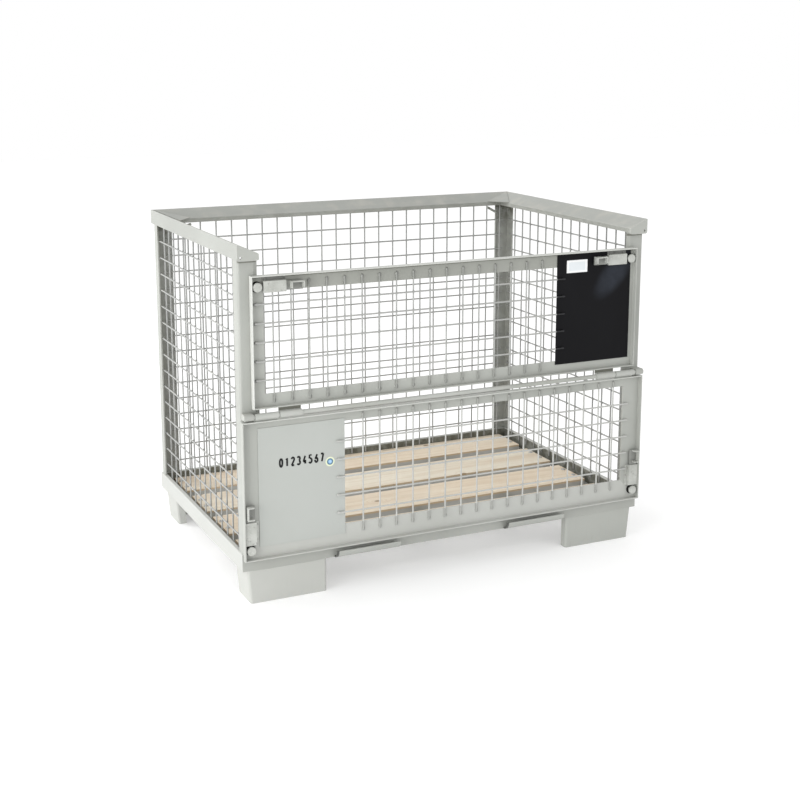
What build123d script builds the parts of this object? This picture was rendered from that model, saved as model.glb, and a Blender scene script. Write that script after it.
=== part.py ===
from build123d import *
import math
import os

# Wire mesh container (box pallet) with a front wall in two hinged flaps. Millimetres, +Z up.
# X runs along the front, Y from the front (-) to the back (+).
# The origin is on the floor, at the centre of the base of the bounding box.

# Overall size
LENGTH = 1240.0
DEPTH = 835.0
HEIGHT = 970.0

# Stock
PLATE = 4.0
WIRE = 4.5
MESH_PITCH = 50.0
SHEET = 2.0
FOLD_RADIUS = 3.0

# Outer faces in plan
SIDE_X = LENGTH / 2
BACK_Y = DEPTH / 2
RIM_FRONT_Y = -402.5
POST_X = SIDE_X - PLATE
POST_FRONT_Y = -388.0
POST_BACK_Y = 403.0
MIDDLE_Y = (POST_FRONT_Y + POST_BACK_Y) / 2

# Base: rails, floor and feet
RAIL_BOTTOM_Z = 95.0
RAIL_TOP_Z = 142.0
RAIL_WIDTH = 13.5
LEDGE_WIDTH = 60.0
LEDGE_TOP_Z = RAIL_BOTTOM_Z + PLATE
BOARD_COUNT = 4
BOARD_WIDTH = 156.0
LAST_BOARD_WIDTH = 142.0
BOARD_PITCH = 206.0
BOARD_THICKNESS = 23.0
BOARD_HALF_LENGTH = 584.0
FRONT_BOARD_Y = -372.0
BEARER_WIDTH = 60.0
BEARER_DEPTH = 16.0
BEARER_PITCH = 290.0
BOLT_RADIUS = 3.0
FOOT_TOP_X = 606.0
FOOT_INSET_Y = 2.0
FOOT_LENGTH = 226.0
FOOT_DEPTH = 104.0
FOOT_TAPER_X = 8.0
FOOT_TAPER_Y = 2.0
FOOT_RETURN = 25.0
GUIDE_START_X = 168.0
GUIDE_END_X = 358.0
FRONT_GUIDE_RADIUS = 22.0
BACK_GUIDE_RADIUS = 14.0

# Posts and stacking rim
POST_FACE = 54.0
POST_SIDE = 36.0
POST_FLAT = 43.0
POST_LIP_RISE = 5.0
POST_TOP_Z = 931.0
RIM_WIDTH = 58.0
RIM_CREASE_Z = 944.0
RIM_LIP_Z = 931.0
RIM_BOTTOM_Z = 928.0

# Wall mesh
WALL_WIRE_BOTTOM_Z = 124.0
WALL_WIRE_TOP_Z = 945.0
WALL_FIRST_ROW_Z = 178.0
WALL_ROWS = 15

# Hinge line of both flaps
HINGE_Z = 520.0
ROD_RADIUS = 6.0
KNUCKLE_RADIUS = 8.5
HINGE_Y = -(BACK_Y - KNUCKLE_RADIUS)
ROD_GAP = 0.05

# Flaps
FLAP_BACK_Y = -388.5
FLANGE = 3.5
UPPER_X = 586.0
UPPER_BOTTOM_Z = 538.0
UPPER_TOP_Z = 887.0
UPPER_FRONT_Y = -408.0
UPPER_LEGS = {"bottom": 36.0, "right": 36.0, "top": 42.0, "left": 36.0}
LOWER_X = 618.0
LOWER_BOTTOM_Z = 127.0
LOWER_TOP_Z = 506.0
LOWER_FRONT_Y = -408.5
LOWER_LEGS = {"bottom": 60.0, "right": 57.0, "top": 30.0, "left": 57.0}
LEG_FRONT_Y = FLAP_BACK_Y - PLATE

# Latches: a sliding bolt whose tip goes behind the head of a stud on the post
UPPER_STUD = (568.0, 857.0)
LOWER_STUD = (599.0, 155.0)
STUD_NECK_RADIUS = 5.0
STUD_HEAD_RADIUS = 12.5
STUD_HOLE_RADIUS = 14.5
BOLT_TIP = 15.5
BOLT_WIDTH = 24.0
BOLT_BACK = 9.0
BOLT_FRONT = 13.0
COVER_START = 16.0
COVER_END = 78.0
LOOP_START = 88.0
LOOP_END = 124.0
LOOP_REACH = 29.0

os.makedirs("parts", exist_ok=True)


def save(name, shapes):
    """Write one node. Several solids are kept apart in one file."""
    solids = [solid for shape in shapes for solid in shape.solids()]
    export_step(solids[0] if len(solids) == 1 else Compound(children=solids), f"parts/{name}.step")


def box(x, y, z):
    """A block between the pairs (low, high) along X, Y and Z, in either order."""
    sizes = [abs(pair[1] - pair[0]) for pair in (x, y, z)]
    centre = [(pair[0] + pair[1]) / 2 for pair in (x, y, z)]
    return Pos(*centre) * Box(*sizes)


def outline(points, rounds=None):
    """A closed face through the points, with a radius at each point named in rounds."""
    face = make_face(Polyline(*points, close=True))
    for index, radius in (rounds or {}).items():
        corner = Vector(*points[index], 0)
        nearest = face.vertices().sort_by(lambda vertex: (Vector(*vertex) - corner).length)[0]
        face = fillet(nearest, radius)
    return face


def bar(section, start, end, inward, mitre_start=None, mitre_end=None):
    """A bar of constant section whose outer edge runs from start to end.

    The section's first axis points inward and its second up, square to the run and to inward.
    A mitre number is how far the end is cut back per unit of distance inward.
    """
    start, end, inward = Vector(*start), Vector(*end), Vector(*inward)
    along = (end - start).normalized()
    up = along.cross(inward)
    placed = Plane(origin=start, x_dir=inward, z_dir=along) * section
    solid = extrude(placed, amount=(end - start).length, dir=along)
    reach = 100.0
    for origin, way, mitre in ((start, 1, mitre_start), (end, -1, mitre_end)):
        if mitre is None:
            continue
        corners = [(0, 0), (way * mitre * reach, reach), (-way * reach, reach), (-way * reach, 0)]
        wedge = Plane(origin=origin, x_dir=along, z_dir=up) * outline(corners)
        solid -= extrude(wedge, amount=2 * HEIGHT, both=True)
    return solid


def wire(start, end):
    """One straight wire."""
    start, end = Vector(*start), Vector(*end)
    run = Plane(origin=start, z_dir=end - start)
    length = (end - start).length
    return run * Cylinder(WIRE / 2, length, align=(Align.CENTER, Align.CENTER, Align.MIN))


def rod_x(radius, x, y, z):
    """A round bar along X."""
    return Pos((x[0] + x[1]) / 2, y, z) * Rot(0, 90, 0) * Cylinder(radius, abs(x[1] - x[0]))


def rod_y(radius, x, y, z):
    """A round bar along Y."""
    return Pos(x, (y[0] + y[1]) / 2, z) * Rot(90, 0, 0) * Cylinder(radius, abs(y[1] - y[0]))


def mirror_x(shape):
    return mirror(shape, about=Plane.YZ)


def mirror_middle_y(shape):
    """The same shape at the other end of the depth of the base."""
    return Pos(0, 2 * MIDDLE_Y, 0) * mirror(shape, about=Plane.XZ)


# --- Floor boards: pine planks that lie on the ledges of the rails ---------------------------

BOARD_TOP_Z = LEDGE_TOP_Z + BOARD_THICKNESS
BOARD_WIDTHS = [BOARD_WIDTH] * (BOARD_COUNT - 1) + [LAST_BOARD_WIDTH]
board_spans = [
    (FRONT_BOARD_Y + BOARD_PITCH * index, FRONT_BOARD_Y + BOARD_PITCH * index + width)
    for index, width in enumerate(BOARD_WIDTHS)
]
BOARD_BOLT_X = SIDE_X - LEDGE_WIDTH + 12.0
BOARD_BOLT_SPREAD = 30.0
bolt_places = [
    (side * BOARD_BOLT_X, (near + far) / 2 + way * BOARD_BOLT_SPREAD)
    for near, far in board_spans
    for side in (-1, 1)
    for way in (-1, 1)
]
bolt_holes = [
    Pos(x, y, LEDGE_TOP_Z) * Cylinder(BOLT_RADIUS + ROD_GAP, 2 * BOARD_THICKNESS + 2 * PLATE)
    for x, y in bolt_places
]

for index, (near, far) in enumerate(board_spans):
    board = box(
        (-BOARD_HALF_LENGTH, BOARD_HALF_LENGTH),
        (near, far),
        (LEDGE_TOP_Z, BOARD_TOP_Z),
    )
    board = fillet(board.edges().filter_by(Axis.X), 1.5)
    for (x, y), hole in zip(bolt_places, bolt_holes):
        if near < y < far:
            board -= hole
    save(f"floor_board_{index + 1}", [board])

board_bolts = []
for x, y in bolt_places:
    shank_top = BOARD_TOP_Z + 1.0
    shank_bottom = RAIL_BOTTOM_Z - 6.0
    shank = Pos(x, y, (shank_top + shank_bottom) / 2) * Cylinder(BOLT_RADIUS, shank_top - shank_bottom)
    dome = Pos(x, y, BOARD_TOP_Z + 1.25) * Cylinder(7.0, 2.5)
    dome = fillet(dome.edges().sort_by(Axis.Z)[-1], 2.0)
    nut = Pos(x, y, RAIL_BOTTOM_Z - 5.0) * extrude(RegularPolygon(5.8, 6), 5.0)
    board_bolts.append(shank + dome + nut)
save("board_bolts", board_bolts)

# --- Base rails: one folded section, mitred at the corners -----------------------------------

rail_section = outline(
    [
        (0, RAIL_BOTTOM_Z),
        (0, RAIL_TOP_Z),
        (RAIL_WIDTH, RAIL_TOP_Z),
        (RAIL_WIDTH, LEDGE_TOP_Z),
        (LEDGE_WIDTH, LEDGE_TOP_Z),
        (LEDGE_WIDTH, RAIL_BOTTOM_Z),
        (RAIL_WIDTH - PLATE, RAIL_BOTTOM_Z),
        (RAIL_WIDTH - PLATE, RAIL_TOP_Z - PLATE),
        (PLATE, RAIL_TOP_Z - PLATE),
        (PLATE, RAIL_BOTTOM_Z),
    ],
    {1: FOLD_RADIUS, 2: FOLD_RADIUS},
)
base_corners = [
    (-SIDE_X, POST_FRONT_Y, 0),
    (SIDE_X, POST_FRONT_Y, 0),
    (SIDE_X, POST_BACK_Y, 0),
    (-SIDE_X, POST_BACK_Y, 0),
]
INWARD = [(0, 1, 0), (-1, 0, 0), (0, -1, 0), (1, 0, 0)]
SIDES = ["front", "right", "back", "left"]

DRAIN_SLOTS = 4
DRAIN_PITCH = 160.0
DRAIN_LENGTH = 90.0
DRAIN_WIDTH = 10.0
drains = []
for side in (-1, 1):
    for slot in range(DRAIN_SLOTS):
        y = MIDDLE_Y + (slot - (DRAIN_SLOTS - 1) / 2) * DRAIN_PITCH
        x = side * (SIDE_X - RAIL_WIDTH - 9.0)
        cut = SlotOverall(DRAIN_LENGTH, DRAIN_WIDTH, rotation=90)
        drains.append(Pos(x, y, RAIL_BOTTOM_Z - 1) * extrude(cut, PLATE + 2))

for index, side in enumerate(SIDES):
    rail = bar(
        rail_section, base_corners[index], base_corners[(index + 1) % 4], INWARD[index], 1.0, 1.0
    )
    if side in ("left", "right"):
        for hole in bolt_holes + drains:
            rail -= hole
    save(f"base_rail_{side}", [rail])

# --- Floor bearers: shallow channels from the front ledge to the back ledge -------------------

bearer_section = outline(
    [
        (-BEARER_WIDTH / 2, LEDGE_TOP_Z),
        (BEARER_WIDTH / 2, LEDGE_TOP_Z),
        (BEARER_WIDTH / 2, LEDGE_TOP_Z - BEARER_DEPTH),
        (BEARER_WIDTH / 2 - PLATE, LEDGE_TOP_Z - BEARER_DEPTH),
        (BEARER_WIDTH / 2 - PLATE, LEDGE_TOP_Z - PLATE),
        (-BEARER_WIDTH / 2 + PLATE, LEDGE_TOP_Z - PLATE),
        (-BEARER_WIDTH / 2 + PLATE, LEDGE_TOP_Z - BEARER_DEPTH),
        (-BEARER_WIDTH / 2, LEDGE_TOP_Z - BEARER_DEPTH),
    ]
)
bearers = []
for place in (-1, 0, 1):
    start = (place * BEARER_PITCH, POST_BACK_Y - LEDGE_WIDTH, 0)
    end = (place * BEARER_PITCH, POST_FRONT_Y + LEDGE_WIDTH, 0)
    bearers.append(bar(bearer_section, start, end, (1, 0, 0)))
save("floor_bearers", bearers)

# --- Feet: folded plate, open towards the middle, with a lip that stands on the floor ----------


def foot_wall(u, v, z):
    """Plan of the foot's wall at height z: u inward along X, v inward along Y from the top corner."""
    points = [
        (FOOT_LENGTH, v + FOOT_RETURN),
        (FOOT_LENGTH, v),
        (u, v),
        (u, FOOT_DEPTH),
        (u + FOOT_RETURN, FOOT_DEPTH),
        (u + FOOT_RETURN, FOOT_DEPTH - PLATE),
        (u + PLATE, FOOT_DEPTH - PLATE),
        (u + PLATE, v + PLATE),
        (FOOT_LENGTH - PLATE, v + PLATE),
        (FOOT_LENGTH - PLATE, v + FOOT_RETURN),
    ]
    wide, tight = 7.0, 3.0
    rounds = {1: wide, 2: wide, 3: wide, 6: tight, 7: tight, 8: tight}
    return Pos(0, 0, z) * outline(points, rounds)


def foot_lip(u, v):
    """Plan of the lip around the bottom of the wall."""
    width = FOOT_RETURN - 1.0
    points = [
        (FOOT_LENGTH, v),
        (u, v),
        (u, FOOT_DEPTH),
        (u + width, FOOT_DEPTH),
        (u + width, v + width),
        (FOOT_LENGTH, v + width),
    ]
    return outline(points, {0: 7.0, 1: 7.0, 2: 7.0})


foot_shell = loft([foot_wall(FOOT_TAPER_X, FOOT_TAPER_Y, 0), foot_wall(0, 0, RAIL_BOTTOM_Z)], ruled=True)
foot_shape = foot_shell + extrude(foot_lip(FOOT_TAPER_X, FOOT_TAPER_Y), PLATE)
foot_front_left = Pos(-FOOT_TOP_X, POST_FRONT_Y + FOOT_INSET_Y, 0) * foot_shape
foot_back_left = mirror_middle_y(foot_front_left)
save("foot_front_left", [foot_front_left])
save("foot_front_right", [mirror_x(foot_front_left)])
save("foot_back_left", [foot_back_left])
save("foot_back_right", [mirror_x(foot_back_left)])

# --- Fork guides: curled plates along the bottom of the front and back rails --------------------


def fork_guide(radius):
    """The guide on the right of the front rail: a quarter of a tube, hollow towards the rail."""
    low = Pos(-radius / 2, -radius / 2) * Rectangle(radius, radius)
    quarter = (Circle(radius) - Circle(radius - PLATE)) & low
    centre_z = RAIL_BOTTOM_Z + radius
    start = (GUIDE_START_X, POST_FRONT_Y, centre_z)
    end = (GUIDE_END_X, POST_FRONT_Y, centre_z)
    return bar(quarter, start, end, (0, 1, 0))


guide_front_right = fork_guide(FRONT_GUIDE_RADIUS)
guide_back_right = mirror_middle_y(fork_guide(BACK_GUIDE_RADIUS))
save("fork_guide_front_right", [guide_front_right])
save("fork_guide_front_left", [mirror_x(guide_front_right)])
save("fork_guide_back_right", [guide_back_right])
save("fork_guide_back_left", [mirror_x(guide_back_right)])

# --- Corner posts: folded angles with a slanted inner lip -------------------------------------

lip_run = POST_FACE - POST_FLAT
lip_angle = math.atan2(POST_LIP_RISE, lip_run)
lip_end = (
    POST_FACE - PLATE * math.sin(lip_angle),
    POST_LIP_RISE + PLATE * math.cos(lip_angle),
)
post_section = outline(
    [
        (0, POST_SIDE),
        (0, 0),
        (POST_FLAT, 0),
        (POST_FACE, POST_LIP_RISE),
        lip_end,
        (POST_FLAT - PLATE * math.tan(lip_angle / 2), PLATE),
        (PLATE, PLATE),
        (PLATE, POST_SIDE),
    ],
    {1: 7.0, 6: 3.0},
)
post_front_left = Pos(-POST_X, POST_FRONT_Y, RAIL_TOP_Z) * extrude(
    post_section, amount=POST_TOP_Z - RAIL_TOP_Z, dir=(0, 0, 1)
)
post_back_left = mirror_middle_y(post_front_left)
save("post_front_left", [post_front_left])
save("post_front_right", [mirror_x(post_front_left)])
save("post_back_left", [post_back_left])
save("post_back_right", [mirror_x(post_back_left)])

# --- Stacking rim: sloping channel on three sides ----------------------------------------------

rim_slope = (HEIGHT - RIM_CREASE_Z) / RIM_WIDTH
rim_drop = PLATE * math.sqrt(1 + rim_slope**2)


def under_rim(u):
    """Height of the underside of the rim's sloping web, u inward from its outer face."""
    return HEIGHT - rim_slope * u - rim_drop


rim_section = outline(
    [
        (0, RIM_BOTTOM_Z),
        (0, HEIGHT),
        (RIM_WIDTH, RIM_CREASE_Z),
        (RIM_WIDTH, RIM_LIP_Z),
        (RIM_WIDTH - PLATE, RIM_LIP_Z),
        (RIM_WIDTH - PLATE, under_rim(RIM_WIDTH - PLATE)),
        (PLATE, under_rim(PLATE)),
        (PLATE, RIM_BOTTOM_Z),
    ],
    {1: 2.0, 2: FOLD_RADIUS, 5: 1.0, 6: 1.0},
)
rim_front = RIM_FRONT_Y + PLATE
back_left = (-SIDE_X, BACK_Y, 0)
back_right = (SIDE_X, BACK_Y, 0)
save("rim_left", [bar(rim_section, back_left, (-SIDE_X, rim_front, 0), (1, 0, 0), 1.0, None)])
save("rim_right", [bar(rim_section, (SIDE_X, rim_front, 0), back_right, (-1, 0, 0), None, 1.0)])
save("rim_back", [bar(rim_section, back_right, back_left, (0, -1, 0), 1.0, 1.0)])

END_PLATE_BOTTOM_Z = RIM_BOTTOM_Z - 2.0
end_section = outline(
    [
        (0, END_PLATE_BOTTOM_Z),
        (0, HEIGHT),
        (RIM_WIDTH, RIM_CREASE_Z),
        (RIM_WIDTH, END_PLATE_BOTTOM_Z + 2.0),
        (RIM_WIDTH - 8.0, END_PLATE_BOTTOM_Z),
    ],
    {0: 6.0, 1: 2.0, 2: FOLD_RADIUS},
)
drain_hole = Pos(9.0, END_PLATE_BOTTOM_Z + 9.0) * Circle(3.0)
end_plate = bar(
    end_section - drain_hole, (-SIDE_X, rim_front, 0), (-SIDE_X, RIM_FRONT_Y, 0), (1, 0, 0)
)
save("rim_end_plates", [end_plate, mirror_x(end_plate)])

# Corner gussets: triangles welded across the mitre, from the slope of one rim to that of the other
GUSSET_BACK_RUN = 49.0
GUSSET_SIDE_RUN = 58.0
GUSSET_SETBACK = 7.0


def on_slope(x, y, u):
    """A point on the sloping top of the rim, u inward from its outer face."""
    return Vector(x, y, under_rim(u) + rim_drop)


near_crease = RIM_WIDTH - 1.0
gusset_points = [
    on_slope(SIDE_X - near_crease - GUSSET_BACK_RUN, BACK_Y - near_crease, near_crease),
    on_slope(SIDE_X - GUSSET_SETBACK, BACK_Y - GUSSET_SETBACK, GUSSET_SETBACK),
    on_slope(SIDE_X - near_crease, BACK_Y - near_crease - GUSSET_SIDE_RUN, near_crease),
]
gusset = extrude(Face(Wire.make_polygon(gusset_points)), SHEET, (0, 0, 1))
save("rim_corner_gussets", [gusset, mirror_x(gusset)])

# Rim braces: short round bars from the lip of the back rim down to the back posts
BRACE_RADIUS = 4.0
brace_top = Vector(512.0, BACK_Y - RIM_WIDTH + 2.0, RIM_LIP_Z - BRACE_RADIUS - 1.0)
brace_foot = Vector(POST_X - POST_FACE - 1.5, POST_BACK_Y - 15.0, 904.0)
brace = Plane(origin=brace_top, z_dir=brace_foot - brace_top) * Cylinder(
    BRACE_RADIUS, (brace_foot - brace_top).length, align=(Align.CENTER, Align.CENTER, Align.MIN)
)
save("rim_braces", [brace, mirror_x(brace)])

# --- Wall mesh: horizontal wires against the posts, vertical wires inside them ------------------

rows_z = [WALL_FIRST_ROW_Z + MESH_PITCH * row for row in range(WALL_ROWS)]


def centred_places(count):
    """Places at the mesh pitch, the same on both sides of zero."""
    return [(index - (count - 1) / 2) * MESH_PITCH for index in range(count)]


BACK_COLUMNS = 24
BACK_ROW_HALF = 590.0
back_column_y = POST_BACK_Y - RAIL_WIDTH - WIRE / 2
back_row_y = back_column_y + WIRE
back_mesh = [
    wire((x, back_column_y, WALL_WIRE_BOTTOM_Z), (x, back_column_y, WALL_WIRE_TOP_Z))
    for x in centred_places(BACK_COLUMNS)
]
back_mesh += [wire((-BACK_ROW_HALF, back_row_y, z), (BACK_ROW_HALF, back_row_y, z)) for z in rows_z]
save("mesh_back", back_mesh)

SIDE_COLUMNS = 14
SIDE_ROW_OVERLAP = 18.0
side_column_x = SIDE_X - RAIL_WIDTH - WIRE / 2
side_row_x = side_column_x + WIRE
side_row_start = POST_FRONT_Y + POST_SIDE - SIDE_ROW_OVERLAP
side_row_end = POST_BACK_Y - POST_SIDE + SIDE_ROW_OVERLAP
right_mesh = [
    wire(
        (side_column_x, MIDDLE_Y + y, WALL_WIRE_BOTTOM_Z), (side_column_x, MIDDLE_Y + y, WALL_WIRE_TOP_Z)
    )
    for y in centred_places(SIDE_COLUMNS)
]
right_mesh += [
    wire((side_row_x, side_row_start, z), (side_row_x, side_row_end, z)) for z in rows_z
]
save("mesh_right", right_mesh)
save("mesh_left", [mirror_x(piece) for piece in right_mesh])

# --- Hinge line: one rod held by a bracket on each front post -----------------------------------

BRACKET_START_X = 589.0
BRACKET_END_X = 614.0
BRACKET_HALF_HEIGHT = 8.0
ROD_HALF_LENGTH = 615.0
save("hinge_rod", [rod_x(ROD_RADIUS, (-ROD_HALF_LENGTH, ROD_HALF_LENGTH), HINGE_Y, HINGE_Z)])

bracket_x = (BRACKET_START_X, BRACKET_END_X)
bracket = rod_x(KNUCKLE_RADIUS, bracket_x, HINGE_Y, HINGE_Z) + box(
    bracket_x,
    (HINGE_Y, POST_FRONT_Y),
    (HINGE_Z - BRACKET_HALF_HEIGHT, HINGE_Z + BRACKET_HALF_HEIGHT),
)
bracket -= rod_x(ROD_RADIUS + ROD_GAP, (BRACKET_START_X - 1, BRACKET_END_X + 1), HINGE_Y, HINGE_Z)
save("hinge_brackets", [bracket, mirror_x(bracket)])

KNUCKLE_WALL = KNUCKLE_RADIUS - ROD_RADIUS


def knuckle(x, far_z):
    """A loop of strip round the hinge rod, with a tail up or down to the flap's flange."""
    back_y = HINGE_Y + KNUCKLE_RADIUS
    loop = rod_x(KNUCKLE_RADIUS, x, HINGE_Y, HINGE_Z)
    loop += box(x, (back_y - KNUCKLE_WALL, back_y), (HINGE_Z, far_z))
    return loop - rod_x(ROD_RADIUS + ROD_GAP, (x[0] - 1, x[1] + 1), HINGE_Y, HINGE_Z)


UPPER_KNUCKLE_X = (455.0, 517.0)
LOWER_KNUCKLE_X = (520.0, 584.0)
upper_knuckle = knuckle(UPPER_KNUCKLE_X, UPPER_BOTTOM_Z)
lower_knuckle = knuckle(LOWER_KNUCKLE_X, LOWER_TOP_Z)
save("upper_knuckles", [upper_knuckle, mirror_x(upper_knuckle)])
save("lower_knuckles", [lower_knuckle, mirror_x(lower_knuckle)])

# --- Latch studs: mushroom heads on the front posts, which stand through the flaps' corners ------


def forward(distance):
    """Y at a distance in front of the flaps' back face."""
    return FLAP_BACK_Y - distance


STUD_HEAD_BACK = BOLT_FRONT + 0.5
STUD_HEAD_FRONT = STUD_HEAD_BACK + 5.0


def stud(x, z):
    neck = rod_y(STUD_NECK_RADIUS, x, (POST_FRONT_Y, forward(STUD_HEAD_BACK + 1)), z)
    head = rod_y(STUD_HEAD_RADIUS, x, (forward(STUD_HEAD_BACK), forward(STUD_HEAD_FRONT)), z)
    head = fillet(head.edges().sort_by(Axis.Y)[0], 2.5)
    return neck + head


studs = [stud(*UPPER_STUD), stud(*LOWER_STUD)]
save("latch_studs", studs + [mirror_x(piece) for piece in studs])

# --- Flap frames: angle steel with the flange turned outward, mitred at the corners --------------


def flap_frame(name, half_width, low_z, high_z, front_y, legs, stud_place):
    """Four mitred angles. The leg lies against the posts and the flange stands out at the edge."""
    corners = [
        (-half_width, FLAP_BACK_Y, low_z),
        (half_width, FLAP_BACK_Y, low_z),
        (half_width, FLAP_BACK_Y, high_z),
        (-half_width, FLAP_BACK_Y, high_z),
    ]
    sides = ["bottom", "right", "top", "left"]
    inward = [(0, 0, 1), (-1, 0, 0), (0, 0, -1), (1, 0, 0)]
    depth = FLAP_BACK_Y - front_y
    for index, side in enumerate(sides):
        leg = legs[side]
        section = outline(
            [(0, 0), (leg, 0), (leg, PLATE), (FLANGE, PLATE), (FLANGE, depth), (0, depth)],
            {0: FOLD_RADIUS, 4: 1.2, 5: 1.2},
        )
        before = legs[sides[index - 1]] / leg
        after = legs[sides[(index + 1) % 4]] / leg
        piece = bar(section, corners[index], corners[(index + 1) % 4], inward[index], before, after)
        for x in (-stud_place[0], stud_place[0]):
            piece -= rod_y(STUD_HOLE_RADIUS, x, (FLAP_BACK_Y + 1, LEG_FRONT_Y - 1), stud_place[1])
        save(f"{name}_frame_{side}", [piece])


flap_frame(
    "upper", UPPER_X, UPPER_BOTTOM_Z, UPPER_TOP_Z, UPPER_FRONT_Y, UPPER_LEGS, UPPER_STUD
)
flap_frame(
    "lower", LOWER_X, LOWER_BOTTOM_Z, LOWER_TOP_Z, LOWER_FRONT_Y, LOWER_LEGS, LOWER_STUD
)

# --- Sheets on the flaps: black board above on the right, number plate below on the left ---------

SHEET_FRONT_Y = LEG_FRONT_Y - SHEET
BOARD_X = (325.0, 571.0)
BOARD_Z = (564.0, 880.0)
black_board = box(BOARD_X, (LEG_FRONT_Y, SHEET_FRONT_Y), BOARD_Z)
black_board -= rod_y(STUD_HOLE_RADIUS, UPPER_STUD[0], (LEG_FRONT_Y + 1, SHEET_FRONT_Y - 1), UPPER_STUD[1])
save("black_board", [black_board])

LABEL_THICKNESS = 0.4
LABEL_X = (356.0, 424.0)
LABEL_Z = (827.0, 863.0)
save("paper_label", [box(LABEL_X, (SHEET_FRONT_Y, SHEET_FRONT_Y - LABEL_THICKNESS), LABEL_Z)])

PLATE_X = (-573.0, -328.0)
PLATE_Z = (160.0, 484.0)
save("number_plate", [box(PLATE_X, (LEG_FRONT_Y, SHEET_FRONT_Y), PLATE_Z)])

STICKER_PLACE = (-371.0, 369.0)
STICKER_RADIUS = 13.0
save(
    "round_sticker",
    [
        rod_y(
            STICKER_RADIUS,
            STICKER_PLACE[0],
            (SHEET_FRONT_Y, SHEET_FRONT_Y - LABEL_THICKNESS),
            STICKER_PLACE[1],
        )
    ],
)

# --- Flap mesh: vertical wires on the legs, horizontal wires in front of them --------------------

FLAP_COLUMNS = 17
COLUMN_OVERLAP = 24.0
ROW_OVERLAP = 26.0
LOWER_ROW_OVERLAP = 13.0
column_y = LEG_FRONT_Y - WIRE / 2
row_y = column_y - WIRE


def flap_mesh(first_x, low_z, high_z, row_x, first_row_z, rows):
    mesh = [
        wire((first_x + MESH_PITCH * index, column_y, low_z), (first_x + MESH_PITCH * index, column_y, high_z))
        for index in range(FLAP_COLUMNS)
    ]
    for row in range(rows):
        z = first_row_z + MESH_PITCH * row
        mesh.append(wire((row_x[0], row_y, z), (row_x[1], row_y, z)))
    return mesh


save(
    "upper_mesh",
    flap_mesh(
        -525.0,
        UPPER_BOTTOM_Z + UPPER_LEGS["bottom"] - COLUMN_OVERLAP,
        UPPER_TOP_Z - UPPER_LEGS["top"] + COLUMN_OVERLAP,
        (-UPPER_X + UPPER_LEGS["left"] - ROW_OVERLAP, BOARD_X[0] + COLUMN_OVERLAP),
        612.0,
        5,
    ),
)
save(
    "lower_mesh",
    flap_mesh(
        -275.0,
        LOWER_BOTTOM_Z + LOWER_LEGS["bottom"] - ROW_OVERLAP,
        LOWER_TOP_Z - LOWER_LEGS["top"] + 18.0,
        (PLATE_X[1] - COLUMN_OVERLAP, LOWER_X - LOWER_LEGS["right"] + LOWER_ROW_OVERLAP),
        223.0,
        5,
    ),
)

# --- Latches ---------------------------------------------------------------------------------------
# Each latch is drawn with its stud at the origin: the first number runs from the stud along the
# bolt, the second across it, and the third forward from the flap's back face.

LOOP_WALL = 3.0
CHEEK_DROP = 6.0
GUIDE_GAP = 0.5
GUIDE_WALL = 2.5
TAB_WIDTH = 9.0
RIVET_RADIUS = 3.0
RIVET_PLACES = (24.0, 70.0)
COVER_BACK = BOLT_FRONT + GUIDE_GAP
COVER_FRONT = COVER_BACK + GUIDE_WALL
half_bolt = BOLT_WIDTH / 2
guide_inner = half_bolt + GUIDE_GAP
guide_outer = guide_inner + GUIDE_WALL


def latch_bolt(tail, shelf_side):
    """The sliding bar with its finger loop: two cheeks, and a shelf above (1) or below (-1) the bar."""
    bolt = box((BOLT_TIP, tail), (-half_bolt, half_bolt), (BOLT_BACK, BOLT_FRONT))
    bolt = fillet(bolt.edges().filter_by(Axis.Z).sort_by(Axis.X)[:2], 5.0)
    loop_back = BOLT_FRONT - 1.0
    outer = shelf_side * half_bolt
    bolt += box((LOOP_START, LOOP_END), (outer - shelf_side * LOOP_WALL, outer), (loop_back, LOOP_REACH))
    for edge in (LOOP_START, LOOP_END - LOOP_WALL):
        bolt += box((edge, edge + LOOP_WALL), (-shelf_side * CHEEK_DROP, outer), (loop_back, LOOP_REACH))
    return bolt


def latch_guide(base):
    """The folded cover that holds the bolt, with a tab riveted on at the distance base."""
    span = (COVER_START, COVER_END)
    guide = box(span, (-guide_outer, guide_outer), (COVER_BACK, COVER_FRONT))
    guide += box(span, (guide_inner, guide_outer), (base, COVER_FRONT))
    guide += box(span, (-guide_outer, -guide_inner), (BOLT_BACK, COVER_FRONT))
    guide += box(span, (guide_inner, guide_outer + TAB_WIDTH), (base, base + GUIDE_WALL))
    return guide


def latch_rivets(base):
    """The rivet heads on the tab."""
    rivets = []
    for place in RIVET_PLACES:
        middle = guide_outer + TAB_WIDTH / 2
        rivet = Pos(place, middle, base + GUIDE_WALL + 1.0) * Cylinder(RIVET_RADIUS, 2.0)
        rivets.append(fillet(rivet.edges().sort_by(Axis.Z)[-1], 1.2))
    return rivets


def set_upper(shape):
    """Bolt runs towards the middle of the flap, tab upward."""
    face = Plane(origin=(-UPPER_STUD[0], FLAP_BACK_Y, UPPER_STUD[1]), x_dir=(1, 0, 0), z_dir=(0, -1, 0))
    return face * shape


def set_lower(shape):
    """Bolt runs upward, tab towards the middle of the flap."""
    face = Plane(origin=(LOWER_STUD[0], FLAP_BACK_Y, LOWER_STUD[1]), x_dir=(0, 0, 1), z_dir=(0, -1, 0))
    return face * shape


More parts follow.
